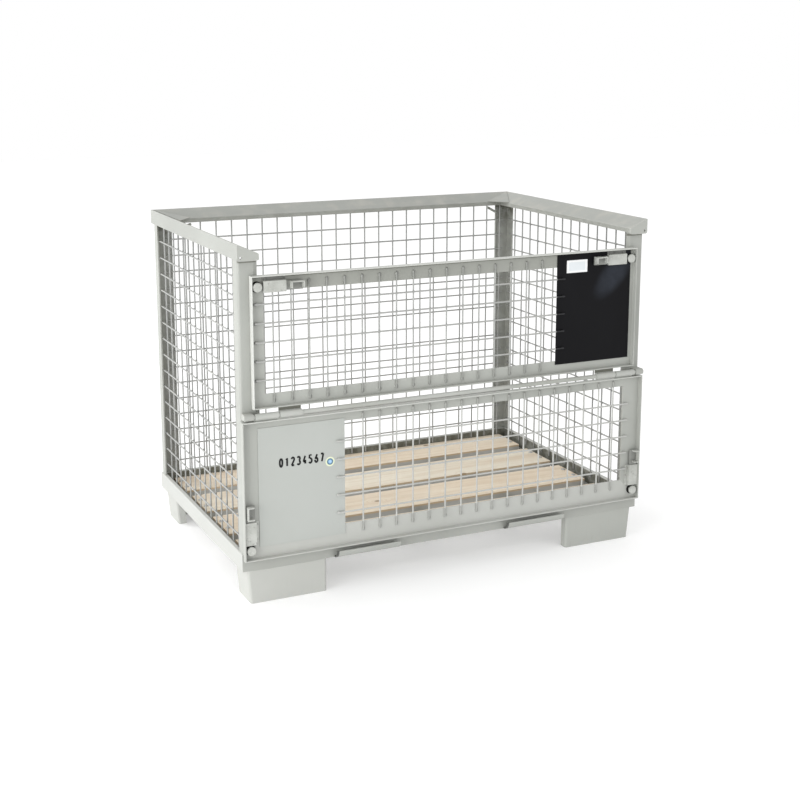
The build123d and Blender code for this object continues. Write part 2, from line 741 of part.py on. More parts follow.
UPPER_TAIL = 124.0
LOWER_TAIL = 124.0
upper_bolt = set_upper(latch_bolt(UPPER_TAIL, 1))
lower_bolt = set_lower(latch_bolt(LOWER_TAIL, -1))
save("upper_latch_bolt_left", [upper_bolt])
save("upper_latch_bolt_right", [mirror_x(upper_bolt)])
save("lower_latch_bolt_right", [lower_bolt])
save("lower_latch_bolt_left", [mirror_x(lower_bolt)])

# The right upper guide is riveted through the black board, the others straight to the frame
upper_guide_left = set_upper(latch_guide(PLATE))
upper_guide_right = mirror_x(set_upper(latch_guide(PLATE + SHEET)))
lower_guide = set_lower(latch_guide(PLATE))
upper_rivets_left = [set_upper(rivet) for rivet in latch_rivets(PLATE)]
upper_rivets_right = [mirror_x(set_upper(rivet)) for rivet in latch_rivets(PLATE + SHEET)]
lower_rivets = [set_lower(rivet) for rivet in latch_rivets(PLATE)]
save("upper_latch_guides", [upper_guide_left, upper_guide_right])
save("lower_latch_guides", [lower_guide, mirror_x(lower_guide)])
save("upper_guide_rivets", upper_rivets_left + upper_rivets_right)
save("lower_guide_rivets", lower_rivets + [mirror_x(rivet) for rivet in lower_rivets])
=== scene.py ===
import math
import random

import bmesh
import bpy
from mathutils import Matrix, Vector, noise


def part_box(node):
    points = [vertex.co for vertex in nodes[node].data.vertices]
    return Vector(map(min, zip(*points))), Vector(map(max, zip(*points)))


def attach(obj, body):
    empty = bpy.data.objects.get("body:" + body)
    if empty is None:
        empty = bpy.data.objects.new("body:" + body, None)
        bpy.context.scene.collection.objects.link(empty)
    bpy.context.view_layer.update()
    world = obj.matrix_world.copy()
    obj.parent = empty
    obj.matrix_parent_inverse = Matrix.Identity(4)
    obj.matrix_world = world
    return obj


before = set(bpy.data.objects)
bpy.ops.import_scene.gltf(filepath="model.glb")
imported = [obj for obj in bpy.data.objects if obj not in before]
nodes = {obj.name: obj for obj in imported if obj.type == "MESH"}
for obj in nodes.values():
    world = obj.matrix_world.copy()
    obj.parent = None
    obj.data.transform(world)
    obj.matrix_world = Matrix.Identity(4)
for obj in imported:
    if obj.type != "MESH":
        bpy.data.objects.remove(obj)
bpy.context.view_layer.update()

random.seed(12)

# ---------------------------------------------------------------------------------------------
# Studio
# A pale floor under an even white sky, a soft lamp low on the left, a higher one behind on the left
# and a weak one on the right, and a camera a little above the rim of the container.

EYE = (-1.6906, -3.6513, 1.4657)
TURN_RIGHT = math.radians(25.107)
TILT_DOWN = math.radians(11.453)
LENS = 61.572
SENSOR = 36.0
SHIFT = -0.10
FLOOR_HALF = 14.0
WHITE = (1.0, 1.0, 1.0, 1.0)

camera = bpy.data.objects.new("camera", bpy.data.cameras.new("camera"))
bpy.context.scene.collection.objects.link(camera)
camera.location = EYE
camera.rotation_euler = (math.pi / 2 - TILT_DOWN, 0, -TURN_RIGHT)
camera.data.lens = LENS
camera.data.sensor_width = SENSOR
camera.data.shift_y = SHIFT
bpy.context.scene.camera = camera
bpy.context.scene.view_settings.view_transform = "Standard"

world = bpy.data.worlds.new("sky")
world.use_nodes = True
world.node_tree.nodes["Background"].inputs["Color"].default_value = WHITE
world.node_tree.nodes["Background"].inputs["Strength"].default_value = 1.0
bpy.context.scene.world = world


def lamp(name, place, target, size, power):
    """A square soft lamp that faces the target."""
    light = bpy.data.lights.new(name, "AREA")
    light.size = size
    light.energy = power
    holder = bpy.data.objects.new(name, light)
    holder.visible_camera = False
    bpy.context.scene.collection.objects.link(holder)
    holder.location = place
    holder.rotation_euler = (Vector(target) - Vector(place)).to_track_quat("-Z", "Y").to_euler()


lamp("left_lamp", (-3.4, -1.7, 0.6), (0.0, 0.0, 0.4), 2.0, 85.0)
lamp("back_lamp", (-3.0, 3.0, 2.5), (0.3, 0.0, 0.8), 1.5, 90.0)
lamp("right_lamp", (2.5, -5.0, 2.2), (0.0, 0.0, 0.5), 2.5, 15.0)


def mesh_object(name, work, smooth=True):
    """Turn a bmesh into an object in the scene."""
    mesh = bpy.data.meshes.new(name)
    bmesh.ops.recalc_face_normals(work, faces=work.faces)
    work.to_mesh(mesh)
    work.free()
    for face in mesh.polygons:
        face.use_smooth = smooth
    piece = bpy.data.objects.new(name, mesh)
    bpy.context.scene.collection.objects.link(piece)
    return piece


floor_work = bmesh.new()
bmesh.ops.create_grid(floor_work, x_segments=4, y_segments=4, size=FLOOR_HALF)
floor = mesh_object("floor", floor_work)

# ---------------------------------------------------------------------------------------------
# Painted steelwork
# Rails, posts, feet, rim and flap frames are folded sheet steel, welded and then sprayed with one
# coat of pebble-grey enamel that shows a light orange peel, dust and a few scuffs.


class Value:
    """A number in a finish. Sums on it add Math nodes."""

    def __init__(self, finish, socket):
        self.finish = finish
        self.socket = socket

    def sum(self, operation, first, second=0.0):
        inputs = {0: first, 1: second}
        return self.finish.node("ShaderNodeMath", {"operation": operation}, inputs)

    def __add__(self, other):
        return self.sum("ADD", self, other)

    def __sub__(self, other):
        return self.sum("SUBTRACT", self, other)

    def __rsub__(self, other):
        return self.sum("SUBTRACT", other, self)

    def __mul__(self, other):
        return self.sum("MULTIPLY", self, other)

    def __truediv__(self, other):
        return self.sum("DIVIDE", self, other)

    def __pow__(self, other):
        return self.sum("POWER", self, other)

    def __gt__(self, other):
        return self.sum("GREATER_THAN", self, other)

    def __lt__(self, other):
        return self.sum("LESS_THAN", self, other)

    __radd__ = __add__
    __rmul__ = __mul__

    def between(self, low, high):
        """0 at low and 1 at high, with soft ends."""
        settings = {"interpolation_type": "SMOOTHSTEP"}
        return self.finish.node("ShaderNodeMapRange", settings, {0: self, 1: low, 2: high})


class Finish:
    """A material made in code around one Principled shader."""

    def __init__(self, name, **constants):
        self.material = bpy.data.materials.new(name)
        self.material.use_nodes = True
        self.tree = self.material.node_tree
        self.shader = self.tree.nodes["Principled BSDF"]
        for socket, value in constants.items():
            self.shader.inputs[socket.replace("_", " ")].default_value = value

    def node(self, kind, settings=None, inputs=None, output=0):
        """Add a node: its settings first, then a value or a link for each socket named."""
        node = self.tree.nodes.new(kind)
        for key, value in (settings or {}).items():
            setattr(node, key, value)
        for key, value in (inputs or {}).items():
            self.feed(node.inputs[key], value)
        return Value(self, node.outputs[output])

    def feed(self, socket, value):
        if isinstance(value, Value):
            self.tree.links.new(value.socket, socket)
        elif isinstance(value, tuple) and len(value) == 3 and socket.type == "RGBA":
            socket.default_value = (*value, 1.0)
        else:
            socket.default_value = value

    def surface(self, **inputs):
        """Feed what varies over the surface to the shader."""
        for socket, value in inputs.items():
            self.feed(self.shader.inputs[socket.replace("_", " ")], value)

    def place(self):
        """The point on the object, in metres from its origin."""
        return self.node("ShaderNodeTexCoord", output="Object")

    def axis(self, name, point=None):
        point = point or self.place()
        return self.node("ShaderNodeSeparateXYZ", inputs={0: point}, output=name)

    def stretch(self, factors, shift=(0.0, 0.0, 0.0)):
        """The point, with each direction multiplied by its own factor."""
        settings = {"operation": "MULTIPLY_ADD"}
        inputs = {0: self.place(), 1: factors, 2: shift}
        return self.node("ShaderNodeVectorMath", settings, inputs)

    def cloud(self, scale, detail=2.0, point=None, roughness=0.5):
        """Soft noise between 0 and 1, with this many lumps to the metre."""
        inputs = {"Vector": point or self.place(), "Scale": scale, "Detail": detail}
        inputs["Roughness"] = roughness
        return self.node("ShaderNodeTexNoise", inputs=inputs)

    def mix(self, amount, first, second):
        return self.node("ShaderNodeMix", {"data_type": "RGBA"}, {0: amount, 6: first, 7: second}, 2)

    def bump(self, height, strength, distance):
        inputs = {"Height": height, "Strength": strength, "Distance": distance}
        return self.node("ShaderNodeBump", inputs=inputs)


PAINT = (0.392, 0.402, 0.374)
PAINT_SHADE = (0.350, 0.360, 0.334)
# Painted highlights: a lit edge and the lit top of a fold
EDGE_HIGHLIGHT = (0.60, 0.61, 0.58)
FLANGE_HIGHLIGHT = (0.56, 0.57, 0.54)
BLACK_PAINT = (0.018, 0.018, 0.020)
SHADOW = (0.0, 0.0, 0.0)
DUST = (0.45, 0.44, 0.40)
BARE_STEEL = (0.23, 0.225, 0.21)
# Dark tone of the painted shade: inner faces, under folded edges, over the hinge straps
SHADE_TONE = (0.085, 0.085, 0.062)
FLOOR_ZONE = 0.10
RAIL_TOP = 0.143
RIM_UNDERSIDE = (0.84, 0.935)
LIP_FOOT = 0.929
END_SEAM = (0.9200, 0.9262)
FLANGE_SHADE = 0.0046


def enamel(name, colour=PAINT, shade=PAINT_SHADE, scuffs=0.3, shaded_inside=False, black_from=None,
           shadow_above=None, flange=None, edge_x=None, painted_light_tone=EDGE_HIGHLIGHT, legs=None):
    """Sprayed enamel: tone, dust in broad clouds, fine specks and scuffs.

    The inner-face option paints shade, in grimy blotches, on inner faces: deepest in the base, then
    under the rim, faint on the rim's lip, with a painted shadow line under the rim's end plates.
    flange is the height of a folded edge, with a painted highlight above it and a painted shadow line
    just below. edge_x paints a highlight or a shadow on what lies left of it, a height for shade
    paints shade on what lies over it, and black_from starts the black board's paint. legs gives two
    heights and a darker tone, painted shade, for the wires beyond them.
    """
    paint = Finish(name, Specular_IOR_Level=0.32)
    normal = paint.node("ShaderNodeNewGeometry", output="Normal")
    height = paint.axis("Z")
    tone = paint.cloud(3.5, 3.0).between(0.30, 0.70)
    base = paint.mix(tone, shade, colour)
    up = paint.axis("Z", normal)
    dusty = paint.cloud(22.0, 4.0).between(0.42, 0.75) * up.between(0.1, 0.9)
    base = paint.mix(dusty * 0.55, base, DUST)
    specks = paint.cloud(420.0, 2.0).between(0.70, 0.80)
    base = paint.mix(specks * 0.25, base, BARE_STEEL)
    streaks = paint.cloud(90.0, 3.0, paint.stretch((1.0, 1.0, 0.12)))
    low = 1 - height.between(0.0, FLOOR_ZONE)
    scuffed = streaks.between(0.60, 0.72) * (0.15 + 0.85 * low) * scuffs
    base = paint.mix(scuffed * 0.4, base, BARE_STEEL)
    # Painted shade on the inner faces, in grimy blotches: deepest in the base, then under the rim,
    # faint on the rim's lip, and a painted shadow line on front faces under the rim's end plates
    if shaded_inside:
        facing_x = paint.axis("X", normal)
        facing_y = paint.axis("Y", normal)
        inward = paint.axis("X") * facing_x + paint.axis("Y") * facing_y
        inner = (inward < -0.15) * (up.sum("ABSOLUTE", up) < 0.3)
        in_base = height < RAIL_TOP
        in_lip = height > LIP_FOOT
        under_rim = height.between(*RIM_UNDERSIDE) * (1 - in_lip)
        blotches = paint.cloud(46.0, 4.0, roughness=0.6).between(0.36, 0.62)
        base = paint.mix(inner * (0.04 + 0.16 * blotches), base, SHADE_TONE)
        base = paint.mix(inner * in_base * (0.62 + 0.28 * blotches), base, SHADE_TONE)
        base = paint.mix(inner * under_rim * (0.20 + 0.75 * blotches), base, SHADE_TONE)
        base = paint.mix(inner * in_lip * 0.15, base, SHADE_TONE)
        seam = (height > END_SEAM[0]) * (height < END_SEAM[1]) * (facing_y < -0.5)
        base = paint.mix(seam * 0.65, base, SHADE_TONE)
    # A painted highlight on the folded edge and a painted shadow line just under it
    if flange is not None:
        base = paint.mix((height < flange) * (height > flange - FLANGE_SHADE) * 0.70, base, SHADE_TONE)
        base = paint.mix((height > flange) * 0.75, base, FLANGE_HIGHLIGHT)
    # A painted highlight or a painted shadow on what lies left of edge_x
    if edge_x is not None:
        base = paint.mix((paint.axis("X") < edge_x) * 0.75, base, painted_light_tone)
    # Painted shade on what lies over the height given
    if shadow_above is not None:
        base = paint.mix((height > shadow_above) * 0.85, base, SHADE_TONE)
    # Painted shade on the wires where they lie over the legs
    if legs is not None:
        bottom_leg_top, top_leg_bottom, leg_shade = legs
        on_leg = (height < bottom_leg_top) + (height > top_leg_bottom)
        base = paint.mix(on_leg * 0.80, base, leg_shade)
    if black_from is not None:
        base = paint.mix(paint.axis("X") > black_from, base, BLACK_PAINT)
    peel = paint.cloud(700.0, 1.0) + paint.cloud(60.0, 2.0) * 1.5
    rough = 0.42 + 0.12 * tone + 0.2 * dusty
    paint.surface(Base_Color=base, Roughness=rough, Normal=paint.bump(peel, 0.12, 0.0006))
    return paint.material


def coat(material, *names):
    """Give the CAD nodes this material."""
    for name in names:
        slots = nodes[name].material_slots
        for slot in slots:
            slot.material = material
        if not slots:
            nodes[name].data.materials.append(material)


frame_paint = enamel("pebble_grey_enamel")
coat(frame_paint, *[name for name in nodes if "_frame_" in name or name.startswith("fork_guide")])
coat(frame_paint, "foot_front_right", "foot_back_right", "rim_end_plates")
# A painted shadow, black, fills the open end of each fork guide
OPEN_END = 0.0055
for side in ("left", "right"):
    guide = "fork_guide_front_" + side
    shaded_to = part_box(guide)[0].x + OPEN_END
    coat(enamel(f"guide_{side}_enamel", edge_x=shaded_to, painted_light_tone=SHADOW), guide)
# A lighter copy of the enamel, painted light, with fewer scuffs: left feet and the lower flap's
# bottom leg
lit_paint = enamel("lit_enamel", (0.455, 0.462, 0.436), (0.42, 0.427, 0.40), 0.15)
coat(lit_paint, "lower_frame_bottom", "foot_front_left", "foot_back_left")
# The upper flap's top leg takes a darker copy of the enamel, painted shade. Both flaps' top legs get
# a painted highlight on the fold and a painted shadow line under it, and the upper flap's left leg a
# painted highlight on its flange.
UPPER_FLANGE = 0.8835
LOWER_FLANGE = 0.5025
SIDE_FLANGE = -0.5825
shaded_leg_tone = (0.315, 0.322, 0.294)
coat(enamel("upper_leg_enamel", shaded_leg_tone, (0.28, 0.287, 0.26), flange=UPPER_FLANGE), "upper_frame_top")
coat(enamel("lower_leg_enamel", flange=LOWER_FLANGE), "lower_frame_top")
coat(enamel("side_leg_enamel", edge_x=SIDE_FLANGE), "upper_frame_left")
# The darker copies of the enamel on the rim, posts and front and back rails are painted shade, and
# the lighter one on the left and right rails is painted light. All carry painted shade on inner
# faces.
rim_paint = enamel("rim_enamel", (0.345, 0.354, 0.330), (0.31, 0.318, 0.295), shaded_inside=True)
coat(rim_paint, "rim_left", "rim_right", "rim_back", "rim_braces", "rim_corner_gussets")
post_paint = enamel("post_enamel", (0.370, 0.379, 0.353), (0.33, 0.339, 0.315), shaded_inside=True)
coat(post_paint, *[name for name in nodes if name.startswith("post_")])
base_paint = enamel("base_enamel", (0.37, 0.378, 0.352), (0.33, 0.338, 0.313), shaded_inside=True)
coat(base_paint, "base_rail_front", "base_rail_back", "floor_bearers", "hinge_brackets")
side_paint = enamel("base_side_enamel", (0.455, 0.462, 0.44), (0.42, 0.427, 0.405), shaded_inside=True)
coat(side_paint, "base_rail_left", "base_rail_right")

# ---------------------------------------------------------------------------------------------
# Wire mesh
# Drawn steel wire, welded where it crosses and painted with the frame. Its tones are painted light
# and shade: darker in the walls, lighter on the flaps. Every crossing has a small weld nugget.

PITCH = 0.050
WIRE = 0.0045
WALL_FIRST_ROW = 0.178
WALL_ROWS = 15
BACK_COLUMNS = 24
SIDE_COLUMNS = 14
NUGGET = 0.0030

# The wall wires take a darker tone: painted shade
wire_paint = enamel("wire_enamel", (0.34, 0.345, 0.335), (0.27, 0.275, 0.268))
coat(wire_paint, "mesh_back", "mesh_left", "mesh_right")


def leg_heights(flap, tone):
    """Where a flap's wires lie on its bottom and top legs, and the darker tone, painted shade, they
    take there.
    """
    bottom_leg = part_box(flap + "_frame_bottom")
    top_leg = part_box(flap + "_frame_top")
    return bottom_leg[1].z, top_leg[0].z, tone


# The wires in front of the black board were painted with it
black_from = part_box("black_board")[0].x - 0.003
# The flap wires take lighter tones, painted light, and darker ones over the legs, painted shade
flap_wire_paint = {
    "upper": enamel("upper_wire_enamel", (0.39, 0.395, 0.38), (0.33, 0.335, 0.325),
                    black_from=black_from, legs=leg_heights("upper", (0.24, 0.246, 0.226))),
    "lower": enamel("lower_wire_enamel", (0.46, 0.465, 0.445), (0.40, 0.405, 0.39),
                    legs=leg_heights("lower", (0.30, 0.306, 0.285))),
}
# Painted shadows of the wire ends, cast on the legs
wire_shadow_paint = {
    "upper": enamel("wire_shadow_enamel", (0.24, 0.244, 0.232), (0.19, 0.194, 0.184),
                    black_from=black_from),
    "lower": enamel("pale_wire_shadow_enamel", (0.34, 0.346, 0.325), (0.30, 0.306, 0.286)),
}
for flap, material in flap_wire_paint.items():
    coat(material, flap + "_mesh")


def add_lump(work, place, size):
    """A rounded uneven lump: weld metal, or the flat painted shadow of a wire end."""
    before = len(work.verts)
    bmesh.ops.create_icosphere(work, subdivisions=2, radius=1.0)
    work.verts.ensure_lookup_table()
    offset = Vector(place) * 40.0
    for vert in work.verts[before:]:
        uneven = 1.0 + 0.16 * noise.noise(vert.co * 1.7 + offset)
        vert.co = Vector(place) + Vector([c * s * uneven for c, s in zip(vert.co, size)])


def weld_piece(name, work, body, material):
    """Weld metal on the wires, or the painted shadows of their ends, as one piece that rides with its
    body.
    """
    piece = mesh_object(name, work)
    piece.data.materials.append(material)
    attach(piece, body)


def nuggets(name, body, places, material=wire_paint):
    """One piece with a weld nugget at every place."""
    work = bmesh.new()
    for place in places:
        grow = random.uniform(0.88, 1.1)
        add_lump(work, place, (NUGGET * grow, NUGGET * 0.9, NUGGET * grow))
    weld_piece(name, work, body, material)


def columns(count, middle=0.0):
    return [middle + (index - (count - 1) / 2) * PITCH for index in range(count)]


wall_rows = [WALL_FIRST_ROW + PITCH * row for row in range(WALL_ROWS)]
back_low, back_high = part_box("mesh_back")
back_y = (back_low.y + back_high.y) / 2
places = [(x, back_y, z) for x in columns(BACK_COLUMNS) for z in wall_rows]
nuggets("mesh_back_nuggets", "root", places)

for side in ("left", "right"):
    low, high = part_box("mesh_" + side)
    x = (low.x + high.x) / 2
    middle_y = (low.y + high.y) / 2
    places = [(x, y, z) for y in columns(SIDE_COLUMNS, middle_y) for z in wall_rows]
    nuggets(f"mesh_{side}_nuggets", "root", places)

FLAP_COLUMNS = 17
FLAP_ROWS = 5
FIRST_CROSSING = {"upper": (-0.525, 0.612), "lower": (-0.275, 0.223)}
COLUMN_END = (0.0036, 0.0026, 0.0056)
COLUMN_SHADOW = (0.0046, 0.0011, 0.0066)
ROW_END = (0.0056, 0.0046, 0.0034)
ROW_SHADOW = (0.0078, 0.0011, 0.0044)
SHADOW_ASIDE = 0.0014
SHADOW_DROP = 0.0008
for flap, (first_x, first_z) in FIRST_CROSSING.items():
    low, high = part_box(flap + "_mesh")
    flap_columns = [first_x + PITCH * index for index in range(FLAP_COLUMNS)]
    flap_rows = [first_z + PITCH * index for index in range(FLAP_ROWS)]
    middle_y = (low.y + high.y) / 2
    places = [(x, middle_y, z) for x in flap_columns for z in flap_rows]
    nuggets(flap + "_mesh_nuggets", flap + "_flap", places, flap_wire_paint[flap])

    # The ends of the wires are pressed flat, and a painted shadow of each end lies on the leg behind
    # it, a little aside and below
    ends = bmesh.new()
    end_shadows = bmesh.new()
    column_y = high.y - WIRE / 2
    for x in flap_columns:
        for z in (low.z + WIRE, high.z - WIRE):
            add_lump(ends, (x, column_y + WIRE * 0.3, z), COLUMN_END)
            add_lump(end_shadows, (x + SHADOW_ASIDE, high.y, z), COLUMN_SHADOW)
    for z in flap_rows:
        for x, way in ((low.x, -1), (high.x, 1)):
            add_lump(ends, (x - way * WIRE, middle_y, z), ROW_END)
            add_lump(end_shadows, (x - way * WIRE, high.y, z - SHADOW_DROP), ROW_SHADOW)
    weld_piece(flap + "_wire_end_welds", ends, flap + "_flap", flap_wire_paint[flap])
    weld_piece(flap + "_weld_marks", end_shadows, flap + "_flap", wire_shadow_paint[flap])

# ---------------------------------------------------------------------------------------------
# Weld seams
# The base, the feet, the posts and the rim are joined by short arc-weld beads with fine ripples,
# laid where two plates meet and painted over.

RIPPLE = 0.0030
RING_CORNERS = 8
FOOT_BEAD = 0.0019
FOOT_BEAD_INSET = 0.012
FOOT_BEAD_STOP = 0.010
POST_BEAD = 0.0021
POST_BEAD_SPAN = (0.008, 0.034)
POST_FACE_BEAD = 0.0020
POST_FACE_DEPTH = 0.0042
POST_FACE_INSET = 0.014
MITRE_BEAD = 0.0012
MITRE_TOP = (0.007, 0.0036)
MITRE_FOOT = (0.055, 0.0252)


def bead(work, start, end, radius):
    """A rippled weld bead from start to end."""
    start, end = Vector(start), Vector(end)
    run = end - start
    along = run.normalized()
    across = along.orthogonal().normalized()
    other = along.cross(across)
    steps = max(4, int(run.length / RIPPLE))
    rings = []
    for step in range(steps * 2 + 1):
        share = step / (steps * 2)
        inside = 0 < share < 1
        fullness = math.sin(math.pi * min(share, 1 - share) ** 0.5) ** 0.5 if inside else 0.05
        swell = radius * fullness * (1.0 if step % 2 else 0.84)
        swell *= 1.0 + 0.12 * noise.noise((start + run * share) * 160.0)
        ring = []
        for corner in range(RING_CORNERS):
            angle = math.tau * corner / RING_CORNERS
            spot = across * math.cos(angle) + other * math.sin(angle)
            ring.append(work.verts.new(start + run * share + spot * swell))
        rings.append(ring)
    for first, second in zip(rings, rings[1:]):
        for corner in range(RING_CORNERS):
            after = (corner + 1) % RING_CORNERS
            work.faces.new((first[corner], first[after], second[after], second[corner]))
    work.faces.new(rings[0])
    work.faces.new(rings[-1])


beads = bmesh.new()
rim_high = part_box("rim_back")[1]
for name, side in (("left", -1), ("right", 1)):
    for end, way in (("front", -1), ("back", 1)):
        # Across the top of the foot, on its long face and on its end
        foot_low, foot_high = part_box(f"foot_{end}_{name}")
        face_y = foot_low.y if way < 0 else foot_high.y
        face_x = foot_low.x if side < 0 else foot_high.x
        inner_x = foot_high.x if side < 0 else foot_low.x
        inner_y = foot_high.y if way < 0 else foot_low.y
        top = foot_high.z - 0.0006
        start = (face_x - side * FOOT_BEAD_INSET, face_y, top)
        stop = (inner_x + side * FOOT_BEAD_INSET, face_y, top)
        bead(beads, start, stop, FOOT_BEAD)
        start = (face_x, face_y - way * FOOT_BEAD_INSET, top)
        stop = (face_x, inner_y + way * FOOT_BEAD_STOP, top)
        bead(beads, start, stop, FOOT_BEAD)

        # Round the foot of the post, on its side and on its face
        post_low, post_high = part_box(f"post_{end}_{name}")
        outer_x = post_low.x if side < 0 else post_high.x
        inside_x = post_high.x if side < 0 else post_low.x
        outer_y = post_low.y if way < 0 else post_high.y
        front_y = outer_y - way * POST_FACE_DEPTH
        foot_z = post_low.z + 0.0008
        start, stop = [(outer_x, outer_y - way * run, foot_z) for run in POST_BEAD_SPAN]
        bead(beads, start, stop, POST_BEAD)
        start = (outer_x - side * POST_FACE_INSET, front_y, foot_z)
        stop = (inside_x + side * POST_FACE_INSET, front_y, foot_z)
        bead(beads, start, stop, POST_FACE_BEAD)

    # Down the mitre at the back corner of the rim
    corner_x = side * rim_high.x
    mitre_ends = (MITRE_TOP, MITRE_FOOT)
    start, stop = [
        (corner_x - side * inset, rim_high.y - inset, rim_high.z - drop) for inset, drop in mitre_ends
    ]
    bead(beads, start, stop, MITRE_BEAD)
piece = mesh_object("weld_beads", beads)
piece.data.materials.append(frame_paint)
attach(piece, "root")

# ---------------------------------------------------------------------------------------------
# Hinge rod and knuckles
# A drawn round bar runs across the whole front, and the flaps turn on it with wrapped straps. The
# paint is rubbed thin where the straps turn.

KNUCKLE_TOP = 0.5292
rubbed_tones = ((0.43, 0.44, 0.415), (0.33, 0.34, 0.31), 0.5)
coat(enamel("rubbed_enamel", *rubbed_tones), "hinge_rod", "lower_knuckles")
# Painted shade on the straps where they show above the rod, under the flap's bottom edge
coat(enamel("strap_enamel", *rubbed_tones, shadow_above=KNUCKLE_TOP), "upper_knuckles")

# ---------------------------------------------------------------------------------------------
# Latches
# Flat bolts with a folded finger loop slide under riveted covers. Their tips go behind the heads of
# studs on the posts. The paint is worn to bright metal at the tips, the heads and the loops.


BAR_BACK = -0.4035
TAB_FOOT = 0.8725
LATCH_SHADE = (0.035, 0.035, 0.032)


def worn_enamel(name, painted_shade_behind=None, painted_shade_above=None):
    """Enamel rubbed through to steel in fine patches, with painted shade behind or above a limit."""
    paint = Finish(name, Specular_IOR_Level=0.45)
    tone = paint.cloud(30.0, 3.0).between(0.3, 0.7)
    base = paint.mix(tone, (0.37, 0.38, 0.35), (0.46, 0.47, 0.44))
    rubbed = paint.cloud(240.0, 4.0, roughness=0.65).between(0.57, 0.66)
    base = paint.mix(rubbed * 0.8, base, (0.55, 0.55, 0.53))
    grime = paint.cloud(110.0, 3.0, roughness=0.6).between(0.60, 0.75)
    base = paint.mix(grime * 0.55, base, (0.10, 0.095, 0.085))
    if painted_shade_behind is not None:
        base = paint.mix((paint.axis("Y") > painted_shade_behind) * 0.48, base, LATCH_SHADE)
    if painted_shade_above is not None:
        base = paint.mix((paint.axis("Z") > painted_shade_above) * 0.70, base, LATCH_SHADE)
    rough = 0.45 - 0.15 * rubbed + 0.25 * grime
    height = paint.cloud(500.0, 2.0) - rubbed * 0.6
    normal = paint.bump(height, 0.2, 0.0005)
    paint.surface(Base_Color=base, Metallic=rubbed * 0.6, Roughness=rough, Normal=normal)
    return paint.material


latch_paint = worn_enamel("latch_worn_enamel")
coat(latch_paint, *[name for name in nodes if "latch" in name or name.endswith("rivets")])
bolts = [name for name in nodes if "latch_bolt" in name]
# Painted shade on the backs of the bolts
coat(worn_enamel("latch_bolt_enamel", painted_shade_behind=BAR_BACK), *bolts)
# Painted shadow on the guides' tabs, under the flange
guide_paint = worn_enamel("latch_guide_enamel", painted_shade_above=TAB_FOOT)
coat(guide_paint, "upper_latch_guides", "upper_guide_rivets")

# A black disc on the post round the foot of each stud is a painted shadow: it fills the gap between
# the stud's head and the hole in the flap
SHADOW_DISC = 0.0142
SHADOW_DISC_DEPTH = 0.0026
POST_FACE = -0.388
UPPER_STUD = (0.568, 0.857)
LOWER_STUD = (0.599, 0.155)
upright = Matrix.Rotation(math.pi / 2, 4, "X")
stud_shadows = bmesh.new()
for side in (-1, 1):
    for x, z in (UPPER_STUD, LOWER_STUD):
        place = Matrix.Translation((side * x, POST_FACE - SHADOW_DISC_DEPTH / 2, z)) @ upright
        bmesh.ops.create_cone(stud_shadows, cap_ends=True, segments=40, radius1=SHADOW_DISC,
                              radius2=SHADOW_DISC, depth=SHADOW_DISC_DEPTH, matrix=place)
piece = mesh_object("stud_shadow_discs", stud_shadows, smooth=False)
disc_shade = Finish("stud_shadow_black", Specular_IOR_Level=0.3)
disc_shade.surface(
    Base_Color=disc_shade.mix(disc_shade.cloud(300.0), (0.012, 0.012, 0.012), (0.03, 0.03, 0.028)),
    Roughness=0.7 + 0.1 * disc_shade.cloud(500.0),
)
piece.data.materials.append(disc_shade.material)
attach(piece, "root")

# ---------------------------------------------------------------------------------------------
# Number plate, stencilled number and round sticker
# A thin sheet welded behind the mesh of the lower flap, with a number sprayed through a stencil and
# a round sticker next to it. The number here is a plain run of digits.

coat(enamel("plate_enamel", (0.415, 0.432, 0.41), (0.39, 0.405, 0.38), 0.2), "number_plate")

DIGIT_HEIGHT = 0.0268
DIGIT_WIDTH = 0.0125
DIGIT_PITCH = 0.0166
STROKE = 0.0052
INK_THICKNESS = 0.0002
NUMBER_LEFT = -0.516
NUMBER_BOTTOM = 0.370


def arc(x, y, across, up, first, last, steps=8):
    """Points round an oval, angles in degrees."""
    turns = [math.radians(first + (last - first) * step / steps) for step in range(steps + 1)]
    return [(x + across * math.cos(turn), y + up * math.sin(turn)) for turn in turns]


# Each stroke is a run of points in a cell one wide and two high
digit_strokes = {
    "0": [arc(0.5, 1.0, 0.5, 1.0, 90, 450, 24)],
    "1": [[(0.15, 1.6), (0.55, 2.0), (0.55, 0.0)]],
    "2": [arc(0.5, 1.5, 0.5, 0.5, 170, 0) + [(1.0, 1.35), (0.0, 0.0)], [(0.0, 0.0), (1.0, 0.0)]],
    "3": [arc(0.45, 1.52, 0.48, 0.48, 155, -80), arc(0.45, 0.52, 0.55, 0.52, 80, -155)],
    "4": [[(0.72, 2.0), (0.0, 0.55)], [(0.0, 0.55), (1.0, 0.55)], [(0.72, 0.95), (0.72, 0.0)]],
    "5": [[(0.95, 2.0), (0.12, 2.0), (0.05, 1.15)], arc(0.42, 0.6, 0.56, 0.6, 110, -150)],
    "6": [[(0.8, 2.0), (0.12, 0.9)], arc(0.5, 0.55, 0.5, 0.55, 150, -190, 14)],
    "7": [[(0.0, 2.0), (1.0, 2.0)], [(1.0, 2.0), (0.35, 0.0)]],
}


